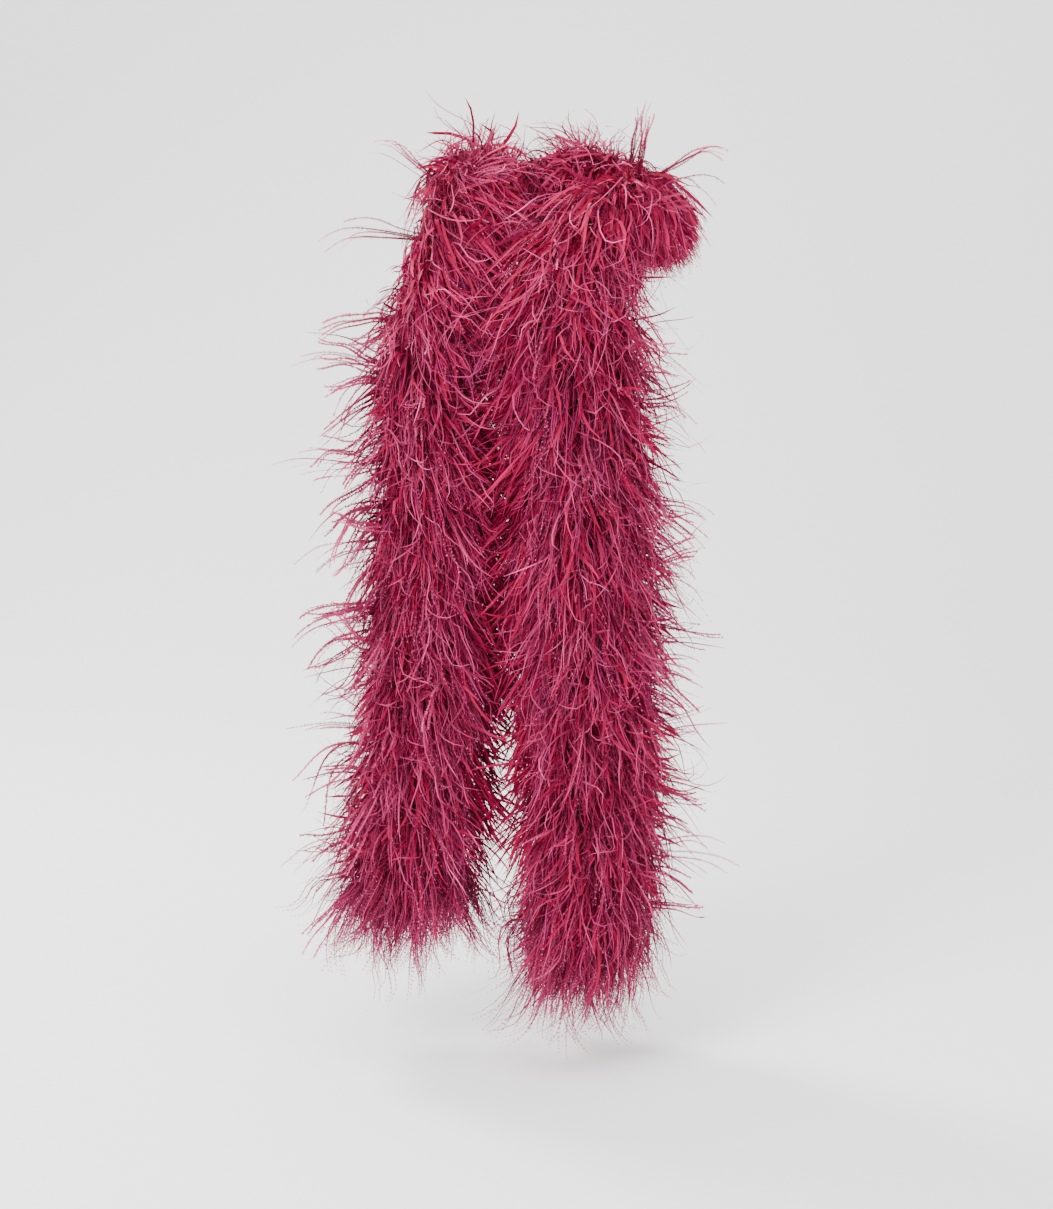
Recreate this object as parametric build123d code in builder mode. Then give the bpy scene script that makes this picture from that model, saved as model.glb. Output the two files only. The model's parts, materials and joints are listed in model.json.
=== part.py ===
"""A multi-ply ostrich feather boa, worn round a neck with both tails hanging in front.

Origin: the middle of the neck that wears it, level with the base of the neck.
+Z is up, +X is towards the tail that crosses over the other one, -Y is the front.
"""

from build123d import *
from math import cos, sin, tan, radians
import os

os.makedirs("parts", exist_ok=True)

# ---------------------------------------------------------------- driving dimensions (mm)
CORE_D = 5.0  # core cord
PLY_BORE_D = 5.4  # the twisted ply strings leave the core a running gap
PLY_D = 12.0  # over the twisted ply strings
FLUE_BORE = 8.6  # radius that the whorls of flues leave round the ply strings
RUFF_R = {"left": 72.0, "right": 80.0}  # dense fringe, fuller on the tail that crosses over
RUFF_DROP = 46.0  # how far a whorl's flues hang below their roots
RUFF_PITCH = 47.0  # from one whorl to the next
RUFF_FLARE = 9.0  # a whorl's lower edge stands this much further out than its upper edge
NECK_R = 50.0  # the flues are pressed flatter round the neck
FRONT_R = 60.0  # and less so where the boa leaves it
SKIN = 3.2  # thickness of the felted layer of flue tips
SLEEVE_END = 2.4  # the same layer, across the ends of a sleeve
ROOT_THICKENING = 3.0  # the same layer is this much thicker at the roots of a whorl
GAP = 1.0  # between neighbouring whorls
PIVOT_GAP = 4.0  # between a pivot and the whorls on each side of it
CORD_GAP = 0.3  # half the gap between two bodies' cord ends
END_CONE = 20.0  # slope in degrees of the cones that let two bodies' cord ends tilt
WHIP_D = 15.0  # thread whipping at each end
WHIP_L = 14.0
WHIP_ROUND = 1.0
WHIP_CLEAR = 0.1  # between the whipping and the ply strings
KNOT_L = 19.0  # knot that closes the plies
KNOT_R = 8.5
TUFT_R = {"left": 76.0, "right": 84.0}  # brush of flues round each end
TUFT_L = 62.0
TUFT_ROOT = 36.0  # the brush's roots are this far up from the end of the cord
TUFT_WIDEST = 0.6  # the share of its lower part's length at which the brush is widest
TUFT_FOOT_R = 47.0  # the flat lower end of the brush
LONG_FLUE_D = 2.2  # one long flue with its barbules, pressed together
LONG_FLUE_BENDS = ((0.4, 0.0), (0.72, 0.35), (0.95, 1.0))  # shares of its length and droop

# ---------------------------------------------------------------- the boa's route, end to end
LEFT_END = (-151, -138, -720)
LEFT_ROUTE = [
    (-146, -135, -640),
    (-139, -132, -545),
    (-135, -131, -445),
    (-134, -128, -350),
    (-136, -123, -255),
    (-137, -116, -160),
]
NECK_ROUTE = [
    (-132, -104, -80),
    (-115, -72, -18),
    (-99, -8, 8),
    (-63, 66, 12),
    (3, 97, 9),
    (67, 68, 18),
    (100, -4, 27),
    (93, -76, 12),
    (55, -125, -20),
    (14, -142, -80),
]
RIGHT_ROUTE = [
    (21, -153, -190),
    (25, -157, -285),
    (26, -160, -380),
    (33, -162, -478),
    (35, -164, -575),
    (39, -167, -675),
]
RIGHT_END = (45, -170, -775)


def between(a, b, share=0.5):
    """The point that lies a share of the way from a to b."""
    return Vector(*a) + (Vector(*b) - Vector(*a)) * share


PIVOTS = {
    "left_upper": between(LEFT_ROUTE[5], NECK_ROUTE[0]),
    "left_middle": between(LEFT_ROUTE[3], LEFT_ROUTE[4]),
    "left_lower": between(LEFT_ROUTE[1], LEFT_ROUTE[2]),
    "right_upper": between(NECK_ROUTE[9], RIGHT_ROUTE[0], 0.6),
    "right_middle": between(RIGHT_ROUTE[1], RIGHT_ROUTE[2]),
    "right_lower": between(RIGHT_ROUTE[3], RIGHT_ROUTE[4]),
}

# every stretch runs from its upper end to its lower end, the neck's from left to right
STRETCHES = {
    "neck": [PIVOTS["left_upper"], *NECK_ROUTE, PIVOTS["right_upper"]],
    "left_upper": [PIVOTS["left_upper"], LEFT_ROUTE[5], LEFT_ROUTE[4], PIVOTS["left_middle"]],
    "left_middle": [PIVOTS["left_middle"], LEFT_ROUTE[3], LEFT_ROUTE[2], PIVOTS["left_lower"]],
    "left_lower": [PIVOTS["left_lower"], LEFT_ROUTE[1], LEFT_ROUTE[0], LEFT_END],
    "right_upper": [PIVOTS["right_upper"], RIGHT_ROUTE[0], RIGHT_ROUTE[1], PIVOTS["right_middle"]],
    "right_middle": [PIVOTS["right_middle"], RIGHT_ROUTE[2], RIGHT_ROUTE[3], PIVOTS["right_lower"]],
    "right_lower": [PIVOTS["right_lower"], RIGHT_ROUTE[4], RIGHT_ROUTE[5], RIGHT_END],
}


def arc_radii(points):
    """The largest arc that each corner of a route can take: 0.45 of its shorter run."""
    corners = [Vector(*p) for p in points]
    radii = []
    for before, corner, after in zip(corners, corners[1:], corners[2:]):
        run_in = corner - before
        run_out = after - corner
        half_turn = radians(run_in.get_angle(run_out)) / 2
        radii.append(0.45 * min(run_in.length, run_out.length) / tan(half_turn))
    return radii


def cord_ends(points):
    """A stretch's route, shortened at both ends by the gap to the next stretch."""
    first = Vector(*points[0])
    last = Vector(*points[-1])
    start = first + (Vector(*points[1]) - first).normalized() * CORD_GAP
    end = last + (Vector(*points[-2]) - last).normalized() * CORD_GAP
    return [start, *points[1:-1], end]


def finish(part, name):
    """Name one piece and write it to its own file."""
    part.label = name
    export_step(part, f"parts/{name}.step")


def outside_end_cone(plane):
    """All that lies outside the cone at a cord's end, for cutting away."""
    with BuildPart() as cutter:
        with BuildSketch(Plane.XZ):
            with BuildLine():
                Polyline(
                    (0, CORD_GAP),
                    (PLY_D, CORD_GAP),
                    (PLY_D, CORD_GAP - PLY_D * tan(radians(END_CONE))),
                    close=True,
                )
            make_face()
        revolve(axis=Axis.Z)
    return plane.location * cutter.part


def cord(points, outer_d, inner_d=0.0, pivot_ends=()):
    """A round cord, or a sleeve of twisted strings, along a route of runs and arcs.

    Its first end, 0, and its last end, 1, are cones where they meet another body.
    """
    with BuildPart() as tube:
        with BuildLine() as route:
            FilletPolyline(*points, radius=arc_radii(points))
        with BuildSketch(Plane(origin=route.line @ 0, z_dir=route.line % 0)):
            Circle(outer_d / 2)
            if inner_d:
                Circle(inner_d / 2, mode=Mode.SUBTRACT)
        sweep(path=route.line)
        for end in pivot_ends:
            outward = (route.line % end) * (1 if end else -1)
            add(outside_end_cone(Plane(origin=route.line @ end, z_dir=outward)), mode=Mode.SUBTRACT)
    return tube.part


def flue_ruff(place, outer_r, thickness, is_last):
    """One whorl of drooping flues: a thin closed skirt with a cone above.

    It has the same cone below, for the next whorl, but the last one of a body is full.
    """
    top_r = outer_r - RUFF_FLARE
    foot = -RUFF_DROP - thickness
    root = foot if is_last else -thickness
    with BuildPart() as ruff:
        with BuildSketch(Plane.XZ):
            with BuildLine():
                Polyline(
                    (FLUE_BORE, 0),
                    (top_r, -RUFF_DROP),
                    (outer_r, foot),
                    (FLUE_BORE, root),
                    close=True,
                )
            make_face()
            with BuildLine():
                Polyline(
                    (FLUE_BORE + SKIN, -SKIN - ROOT_THICKENING),
                    (top_r - SKIN, -RUFF_DROP - SKIN),
                    (outer_r - 2 * SKIN, foot + SKIN),
                    (FLUE_BORE + SKIN, root + SKIN),
                    close=True,
                )
            make_face(mode=Mode.SUBTRACT)
        revolve(axis=Axis.Z)
    return place.location * ruff.part


def end_tuft(place, outer_r):
    """The brush of flues round an end: a closed body with a pocket for the knot."""
    pocket_r = KNOT_R + GAP
    pocket_top = GAP - TUFT_ROOT
    pocket_foot = -TUFT_ROOT - KNOT_L - GAP
    foot = -RUFF_DROP - TUFT_L
    with BuildPart() as tuft:
        with BuildSketch(Plane.XZ):
            with BuildLine():
                Polyline(
                    (FLUE_BORE, 0),
                    (outer_r - RUFF_FLARE, -RUFF_DROP),
                    (outer_r, -RUFF_DROP - TUFT_L * TUFT_WIDEST),
                    (TUFT_FOOT_R, foot),
                    (0, foot),
                    (0, pocket_foot),
                    (pocket_r, pocket_foot),
                    (pocket_r, pocket_top),
                    (FLUE_BORE, pocket_top),
                    close=True,
                )
            make_face()
            offset(amount=-SKIN, kind=Kind.INTERSECTION, mode=Mode.SUBTRACT)
        revolve(axis=Axis.Z)
    return place.location * tuft.part


def flue_sleeve(points, radius, outer_r):
    """The closed layer of flue tips round one bend of the neck stretch."""
    first, corner, last = points
    inner_start = first + (corner - first).normalized() * SLEEVE_END
    inner_end = last + (corner - last).normalized() * SLEEVE_END
    with BuildPart() as sleeve:
        with BuildLine() as route:
            FilletPolyline(first, corner, last, radius=radius)
        with BuildSketch(Plane(origin=route.line @ 0, z_dir=route.line % 0)):
            Circle(outer_r)
            Circle(FLUE_BORE, mode=Mode.SUBTRACT)
        sweep(path=route.line)
        with BuildLine() as inner_route:
            FilletPolyline(inner_start, corner, inner_end, radius=radius)
        with BuildSketch(Plane(origin=inner_route.line @ 0, z_dir=inner_route.line % 0)):
            Circle(outer_r - SKIN)
            Circle(FLUE_BORE + SKIN, mode=Mode.SUBTRACT)
        sweep(path=inner_route.line, mode=Mode.SUBTRACT)
    return sleeve.part


def middle_line(points):
    """The line that a stretch's cord follows."""
    with BuildLine() as route:
        FilletPolyline(*points, radius=arc_radii(points))
    return route.wire()


def place_on(line, distance):
    """The plane across a tail's cord, this far down from its upper end, +Z up the cord."""
    share = distance / line.length
    return Plane(origin=line @ share, z_dir=(line % share) * -1)


def long_flue(axis_point, azimuth, rise, clear, length, droop):
    """One long loose flue: out from the mass, then bending over under its own weight.

    It leaves the mass this far clear of the cord, at an angle above the horizontal.
    """
    level = Vector(cos(radians(azimuth)), sin(radians(azimuth)), 0)
    out = level * cos(radians(rise)) + Vector(0, 0, sin(radians(rise)))
    start = axis_point + out * clear
    points = [start]
    for reach, fall in LONG_FLUE_BENDS:
        points.append(start + out * length * reach - Vector(0, 0, droop * fall))
    return cord(points, LONG_FLUE_D)


# ---------------------------------------------------------------- core cord and ply strings
for name, route in STRETCHES.items():
    points = cord_ends(route)
    print(name, "arc radii", [round(r) for r in arc_radii(points)])
    pivot_ends = (0,) if name.endswith("lower") else (0, 1)
    core = cord(points, CORE_D, pivot_ends=pivot_ends)
    finish(core, f"core_cord_{name}")
    plies = cord(points, PLY_D, PLY_BORE_D, pivot_ends)
    finish(plies, f"ply_strings_{name}")

# ---------------------------------------------------------------- flue fringe round the neck
NECK_RADII = arc_radii(STRETCHES["neck"])


def bend_sleeve(index, outer_r):
    """The sleeve round one corner of the neck route, clear of the sleeves beside it."""
    last = len(NECK_ROUTE) - 1
    corner = Vector(*NECK_ROUTE[index])
    if index == 0:
        start = PIVOTS["left_upper"] + (corner - PIVOTS["left_upper"]).normalized() * PIVOT_GAP
    else:
        middle = between(NECK_ROUTE[index - 1], corner)
        start = middle + (corner - middle).normalized() * GAP / 2
    if index == last:
        end = PIVOTS["right_upper"] + (corner - PIVOTS["right_upper"]).normalized() * PIVOT_GAP
    else:
        middle = between(corner, NECK_ROUTE[index + 1])
        end = middle + (corner - middle).normalized() * GAP / 2
    return flue_sleeve([start, corner, end], NECK_RADII[index], outer_r)


COLLAR = {
    "collar_flues_left": ([0, 1], FRONT_R),
    "shoulder_flues_left": ([2], NECK_R),
    "nape_flues": ([3, 4, 5], NECK_R),
    "shoulder_flues_right": ([6], NECK_R),
    "collar_flues_right": ([7, 8], FRONT_R),
    "crossover_flues": ([9], FRONT_R),
}
for name, (indexes, outer_r) in COLLAR.items():
    sleeves = [bend_sleeve(i, outer_r) for i in indexes]
    finish(Compound(children=sleeves), name)

# ---------------------------------------------------------------- flue fringe on the tails
MIDDLE_LINES = {name: middle_line(points) for name, points in STRETCHES.items()}
TAILS = [name for name in STRETCHES if name != "neck"]
for name in TAILS:
    line = MIDDLE_LINES[name]
    side, part = name.split("_")
    is_end = part == "lower"
    room = line.length - PIVOT_GAP - (TUFT_ROOT if is_end else RUFF_DROP + PIVOT_GAP)
    count = round(room / RUFF_PITCH)
    pitch = room / count
    ruffs = []
    for i in range(count):
        place = place_on(line, PIVOT_GAP + i * pitch)
        is_last = i == count - 1 and not is_end
        ruffs.append(flue_ruff(place, RUFF_R[side], pitch - GAP, is_last))
    finish(Compound(children=ruffs), f"flue_ruffs_{name}")

# ---------------------------------------------------------------- the two ends
for side in ("left", "right"):
    line = MIDDLE_LINES[f"{side}_lower"]
    foot = place_on(line, line.length)
    root = place_on(line, line.length - TUFT_ROOT)
    finish(end_tuft(root, TUFT_R[side]), f"end_tuft_{side}")

    with BuildPart() as whipping:
        with BuildSketch(Plane.XY.offset(CORD_GAP)):
            Circle(WHIP_D / 2)
            Circle(PLY_D / 2 + WHIP_CLEAR, mode=Mode.SUBTRACT)
        extrude(amount=WHIP_L)
        rims = whipping.edges().filter_by(GeomType.CIRCLE).group_by(SortBy.RADIUS)[-1]
        fillet(rims, WHIP_ROUND)
    finish(foot.location * whipping.part, f"end_whipping_{side}")

    with BuildPart() as knot:
        with BuildSketch(Plane.XZ):
            with Locations((0, -KNOT_L / 2)):
                Ellipse(KNOT_R, KNOT_L / 2)
                Rectangle(KNOT_L, KNOT_L, align=(Align.MAX, Align.CENTER), mode=Mode.SUBTRACT)
        revolve(axis=Axis.Z)
    finish(foot.location * knot.part, f"end_knot_{side}")

# ---------------------------------------------------------------- the long loose flues
# for each: how far down the stretch (mm), azimuth and rise (degrees), clear of the cord,
# length and droop (mm)
LONG_FLUES = {
    "neck": [
        (80, 190, 10, 72, 66, 22),
        (160, 195, 40, 70, 56, 14),
        (330, 95, 25, 58, 50, 16),
        (440, 60, 62, 58, 52, 6),
        (520, 10, 30, 60, 60, 22),
        (600, 330, 20, 74, 62, 34),
        (540, 300, 74, 62, 42, 4),
        (690, 265, 20, 76, 50, 26),
    ],
    "left_upper": [(60, 178, 8, 75, 78, 14), (165, 184, 6, 76, 100, 12), (110, 262, 4, 75, 62, 26)],
    "left_middle": [(60, 172, -4, 75, 80, 22), (150, 186, 0, 76, 78, 26), (120, 276, 2, 75, 60, 30)],
    "left_lower": [(80, 180, 4, 76, 80, 8), (190, 184, -8, 80, 78, 22), (120, 255, -2, 76, 66, 28)],
    "right_upper": [(70, 4, 2, 88, 48, 22), (140, 280, 6, 88, 50, 24), (110, 80, 0, 88, 42, 18)],
    "right_middle": [(60, 356, -4, 88, 50, 26), (150, 5, 10, 88, 56, 12), (100, 268, 0, 88, 52, 22)],
    "right_lower": [(60, 2, 14, 88, 76, 6), (170, 354, 0, 92, 76, 16), (120, 262, -4, 88, 52, 24)],
}
for name, flues in LONG_FLUES.items():
    line = MIDDLE_LINES[name]
    rods = [long_flue(line @ (down / line.length), *shape) for down, *shape in flues]
    finish(Compound(children=rods), f"long_flues_{name}")

# the longest flues of each end brush hang past it
for side, azimuths in {"left": (200, 330, 95), "right": (330, 215, 80)}.items():
    foot = MIDDLE_LINES[f"{side}_lower"] @ 1
    rods = [long_flue(foot, azimuth, -68, 84, 66, 5) for azimuth in azimuths]
    finish(Compound(children=rods), f"end_flues_{side}")
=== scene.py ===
"""The looks of the feather boa: its core cord, twisted ply strings and ostrich flues."""

import json
import math

import bpy
import numpy as np
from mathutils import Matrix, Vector


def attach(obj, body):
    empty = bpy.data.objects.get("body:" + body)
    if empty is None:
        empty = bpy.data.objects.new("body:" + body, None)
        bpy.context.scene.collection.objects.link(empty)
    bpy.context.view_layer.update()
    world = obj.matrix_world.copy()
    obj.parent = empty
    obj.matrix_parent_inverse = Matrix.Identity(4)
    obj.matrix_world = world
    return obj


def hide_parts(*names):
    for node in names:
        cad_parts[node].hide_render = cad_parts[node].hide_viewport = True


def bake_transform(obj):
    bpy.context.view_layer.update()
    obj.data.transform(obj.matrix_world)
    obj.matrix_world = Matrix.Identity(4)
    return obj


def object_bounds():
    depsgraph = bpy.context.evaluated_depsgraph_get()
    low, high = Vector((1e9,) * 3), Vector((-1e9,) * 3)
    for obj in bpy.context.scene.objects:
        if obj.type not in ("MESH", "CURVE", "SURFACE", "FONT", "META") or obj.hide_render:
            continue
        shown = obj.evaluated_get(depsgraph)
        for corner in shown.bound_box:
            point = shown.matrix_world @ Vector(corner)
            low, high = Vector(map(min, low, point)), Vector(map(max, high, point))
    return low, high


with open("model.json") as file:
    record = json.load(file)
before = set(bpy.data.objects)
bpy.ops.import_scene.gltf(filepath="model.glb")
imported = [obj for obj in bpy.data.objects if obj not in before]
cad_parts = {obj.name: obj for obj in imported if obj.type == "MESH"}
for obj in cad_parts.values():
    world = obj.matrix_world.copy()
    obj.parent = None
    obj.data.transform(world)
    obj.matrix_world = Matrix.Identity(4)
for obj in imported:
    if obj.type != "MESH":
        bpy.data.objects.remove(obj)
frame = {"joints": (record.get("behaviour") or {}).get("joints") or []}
CAD_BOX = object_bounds()
MM = 0.001
RANDOM_SEED = 7

# ---------------------------------------------------------------- sizes, in metres
CORE_D = 5.0 * MM
PLY_STRINGS = 6
PLY_STRING_R = 1.6 * MM
PLY_RING_R = 4.4 * MM  # the strings' centres lie this far from the cord's middle
PLY_LAY = 42 * MM  # the length in which a string goes once round the cord
PLY_STEP = 3 * MM
TAIL_POINTS = 24  # points on the cord's line in each stretch of a tail
NECK_POINTS = 90
BOA_POINTS = 700  # points on the whole boa's middle line
COARSE_STEP = 7  # every so many of them are enough to find the nearest one
WHIP_R = 7.5 * MM  # over the thread wound round each end
WHIP_L = 14 * MM
WHIP_THREAD_R = 0.75 * MM
WHIP_POINTS = 220
KNOT_R = 8.5 * MM
KNOT_L = 19 * MM
KNOT_PLY_R = 2.7 * MM
KNOT_POINTS = 90
FLUE_ROOT_R = 5 * MM
NECK_CLEAR_R = 44 * MM  # the neck that wears the boa holds the flues back this far
NECK_CENTRE = Vector((2 * MM, -8 * MM, 0))
NECK_FOOT_Z = -90 * MM
LOCK_R = 70 * MM  # the radius at which the distance between locks is measured
LOCK_STRETCH = 0.8  # distances along the boa count this much of those round it
FLOW_LENGTH = 150 * MM
FLOW_LEAN = 0.45
NEAR_ROOT = 120 * MM  # a flue moves with the part of the boa within this distance of its root
COLLAR_REACH = 85 * MM  # the collar's flues that turn with the upper joints
LONG_FLUE_WAVE = 2.5 * MM
LONG_FLUE_POINTS = 26
DOWN_FLUES = 26000
OUTER_TUFTS = 2300
OUTER_TUFT = 7  # flues in each tuft of the outer fringe
OUTER_LOCKS = 620  # the outer fringe falls into this many locks
FINE_TUFTS = 4500
FINE_TUFT = 3
BETWEEN_FLUES = 3200  # on the inner side of each tail
LOOSE_TUFTS = 520
LOOSE_TUFT = 3
END_WISPS = 260
END_WISP = 6  # flues in each wisp that hangs past an end
END_OPENING = math.radians(76)  # how far the end brush opens from the cord's direction
END_SHORTEST = 0.085
END_LONGER = 0.095  # the longest flues of the end brush are so much longer than the shortest
SIDE_BUNCH = 4  # flues that stand out together from the side of a tail
CREST_BUNCHES = 44
CREST_BUNCH = 6  # flues that stand up together from the collar
APART_Z = ((-0.25, -0.15), (-0.68, -0.51))  # heights at which the two tails barely touch
APART_LOSS = 0.14  # what the flues that face the other tail also lose there
APART_KEPT = 0.55  # share of the flues between the tails that grow there
COLLAR_SAG = 1.0  # radians
COLLAR_CURL = 0.9  # the collar's flues wave and hook this much more than those of the tails
CROWDED_LEFT = 0.45  # share that the left tail's flues lose where they face the right tail
CROWDED_RIGHT = 0.22
CROWDED_SAG = 1.3  # radians
SWEEP_POWER = 1.3  # a flue's sweep to one side grows with this power of the way along it
SAG_AT = 0.48  # a flue sags most at this share of its length, and over this much of it
SAG_SPAN = 0.22
SAG_EVEN = 0.25  # the sag is this even share of a flue's whole sag, and this much more there
SAG_PEAK = 1.9
HOOK_FROM = 0.5  # a flue hooks over past this share of its length
FLUE_RIDGE = 0.4  # height of a flue's ridge, as a share of half its width
OWN_DYE = (0.06, 0.86)  # a flue's own dye lot is between these
LUMP_SHADE_PATCH = 13 * MM  # painted light and shade of lumps: the colour drifts lighter and darker, to and fro over about six times this distance
LUMP_SHADE_PATCHINESS = 0.13
PAINTED_LIGHT_FROM_Z = -150 * MM  # painted light from above: the flues are painted paler above this height
PAINTED_LIGHT_OVER = 120 * MM
PAINTED_LIGHT_BY = 0.15
PIECE_TRIS = 150000  # a piece of the fringe has at most about this many triangles

# ---------------------------------------------------------------- the boa's route
# a tail's points run from the collar down to its end, the neck's from left to right
LEFT_ROUTE = [
    (-137, -116, -160),
    (-136, -123, -255),
    (-134, -128, -350),
    (-135, -131, -445),
    (-139, -132, -545),
    (-146, -135, -640),
    (-151, -138, -720),
]
NECK_ROUTE = [
    (-132, -104, -80),
    (-115, -72, -18),
    (-99, -8, 8),
    (-63, 66, 12),
    (3, 97, 9),
    (67, 68, 18),
    (100, -4, 27),
    (93, -76, 12),
    (55, -125, -20),
    (14, -142, -80),
]
RIGHT_ROUTE = [
    (21, -153, -190),
    (25, -157, -285),
    (26, -160, -380),
    (33, -162, -478),
    (35, -164, -575),
    (39, -167, -675),
    (45, -170, -775),
]
JOINT_AT = {j["child"]: Vector(j["pos_m"]) for j in frame["joints"]}


def metres(points):
    """Points in millimetres as vectors in metres."""
    return [Vector(p) * MM for p in points]


# the points of each stretch of cord, in the order that the stretches have along the boa
STRETCHES = {
    "left_lower": [JOINT_AT["left_lower"], *metres(LEFT_ROUTE[4:])],
    "left_middle": [JOINT_AT["left_middle"], *metres(LEFT_ROUTE[2:4]), JOINT_AT["left_lower"]],
    "left_upper": [JOINT_AT["left_upper"], *metres(LEFT_ROUTE[:2]), JOINT_AT["left_middle"]],
    "neck": [JOINT_AT["left_upper"], *metres(NECK_ROUTE), JOINT_AT["right_upper"]],
    "right_upper": [JOINT_AT["right_upper"], *metres(RIGHT_ROUTE[:2]), JOINT_AT["right_middle"]],
    "right_middle": [JOINT_AT["right_middle"], *metres(RIGHT_ROUTE[2:4]), JOINT_AT["right_lower"]],
    "right_lower": [JOINT_AT["right_lower"], *metres(RIGHT_ROUTE[4:])],
}


# ---------------------------------------------------------------- camera, light and floor
def make_camera():
    """A camera in front of the boa that looks slightly down."""
    data = bpy.data.cameras.new("camera")
    data.lens = 80
    camera = bpy.data.objects.new("camera", data)
    camera.location = (-0.028, -3.03, 0.03)
    camera.rotation_euler = (math.radians(90 - 9.1), 0, 0)
    bpy.context.scene.collection.objects.link(camera)
    bpy.context.scene.camera = camera


def make_light(name, location, aim, size, power, colour):
    """A soft round light that faces the point aim."""
    data = bpy.data.lights.new(name, "AREA")
    data.shape = "DISK"
    data.size = size
    data.energy = power
    data.color = colour
    light = bpy.data.objects.new(name, data)
    light.location = location
    light.rotation_euler = (Vector(aim) - Vector(location)).to_track_quat("-Z", "Y").to_euler()
    bpy.context.scene.collection.objects.link(light)


def make_stage():
    """A pale floor below the tails that curves up into a pale wall, and soft light."""
    floor_z = CAD_BOX[0][2] - 0.03
    outline = [(-4.0, 0.0), (1.4, 0.0), (2.2, 0.15), (2.8, 0.75), (3.0, 1.6), (3.0, 4.5)]
    half = 6.0
    verts = []
    for y, z in outline:
        verts += [(-half, y, floor_z + z), (half, y, floor_z + z)]
    faces = [(i, i + 1, i + 3, i + 2) for i in range(0, len(verts) - 2, 2)]
    mesh = bpy.data.meshes.new("floor")
    mesh.from_pydata(verts, [], faces)
    mesh.polygons.foreach_set("use_smooth", [True] * len(faces))
    floor = bpy.data.objects.new("floor", mesh)
    bpy.context.scene.collection.objects.link(floor)
    rounding = floor.modifiers.new("rounding", "SUBSURF")
    rounding.levels = rounding.render_levels = 3
    material = bpy.data.materials.new("floor")
    material.use_nodes = True
    shader = material.node_tree.nodes["Principled BSDF"]
    shader.inputs["Base Color"].default_value = (0.93, 0.93, 0.93, 1)
    shader.inputs["Roughness"].default_value = 0.9
    mesh.materials.append(material)
    world = bpy.data.worlds.new("studio")
    world.use_nodes = True
    background = world.node_tree.nodes["Background"]
    background.inputs["Color"].default_value = (1.0, 1.0, 1.0, 1)
    background.inputs["Strength"].default_value = 1.45
    bpy.context.scene.world = world
    middle = (-0.05, -0.1, -0.4)
    make_light("key", (-1.5, -2.3, 1.5), middle, 1.4, 130, (1.0, 0.98, 0.97))
    make_light("fill", (1.8, -2.2, 0.4), middle, 2.0, 22, (1.0, 0.97, 0.94))
    make_light("back", (-1.3, 1.1, 1.3), middle, 0.7, 80, (1.0, 1.0, 1.0))
    make_light("top", (-0.1, -0.7, 1.7), (-0.03, -0.05, 0.0), 0.8, 26, (1.0, 0.98, 0.97))


# ---------------------------------------------------------------- materials
# what the dye lots multiply a flue's colour by: most are even, a few are deep or faded
DYE_LOTS = [
    (0.0, (0.5, 0.35, 0.5)),
    (0.25, (0.75, 0.65, 0.92)),
    (0.5, (0.92, 0.8, 0.82)),
    (0.8, (1.15, 1.4, 1.25)),
    (1.0, (1.65, 3.0, 2.2)),
]


def new_material(name, roughness, sheen):
    """A matt material with a pink sheen, its nodes, links and shader."""
    material = bpy.data.materials.new(name)
    material.use_nodes = True
    shader = material.node_tree.nodes["Principled BSDF"]
    shader.inputs["Roughness"].default_value = roughness
    shader.inputs["Specular IOR Level"].default_value = 0.12
    shader.inputs["Sheen Weight"].default_value = sheen
    shader.inputs["Sheen Roughness"].default_value = 0.4
    shader.inputs["Sheen Tint"].default_value = (1.0, 0.72, 0.8, 1)
    return material, material.node_tree.nodes, material.node_tree.links, shader


def ramp(nodes, stops):
    """A colour ramp through these (position, colour) stops."""
    node = nodes.new("ShaderNodeValToRGB")
    elements = node.color_ramp.elements
    while len(elements) < len(stops):
        elements.new(0.5)
    for element, (position, colour) in zip(elements, stops):
        element.position = position
        element.color = (*colour, 1)
    return node


def flue_material(name, root, middle, tip, sheen):
    """Dyed ostrich flue, each flue a little different, its ramp painted with light and shade:
    deeper at its root, inside the fringe, as painted shade, and paler at its tip as painted
    highlight.

    In the flues' UV map, V runs from root to tip and U is the flue's own dye lot with its painted
    light and shade.
    """
    material, nodes, links, shader = new_material(name, 0.65, sheen)
    uv = nodes.new("ShaderNodeUVMap")
    uv.uv_map = "OFBake"
    split = nodes.new("ShaderNodeSeparateXYZ")
    links.new(uv.outputs["UV"], split.inputs["Vector"])
    # painted shade at the root and painted highlight at the tip, along the flue
    along = ramp(nodes, [(0.0, root), (0.5, middle), (1.0, tip)])
    links.new(split.outputs["Y"], along.inputs["Fac"])
    lot = ramp(nodes, DYE_LOTS)
    links.new(split.outputs["X"], lot.inputs["Fac"])
    dye = nodes.new("ShaderNodeMix")
    dye.data_type = "RGBA"
    dye.blend_type = "MULTIPLY"
    dye.inputs["Factor"].default_value = 1.0
    links.new(along.outputs["Color"], dye.inputs["A"])
    links.new(lot.outputs["Color"], dye.inputs["B"])
    links.new(dye.outputs["Result"], shader.inputs["Base Color"])
    return material


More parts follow.
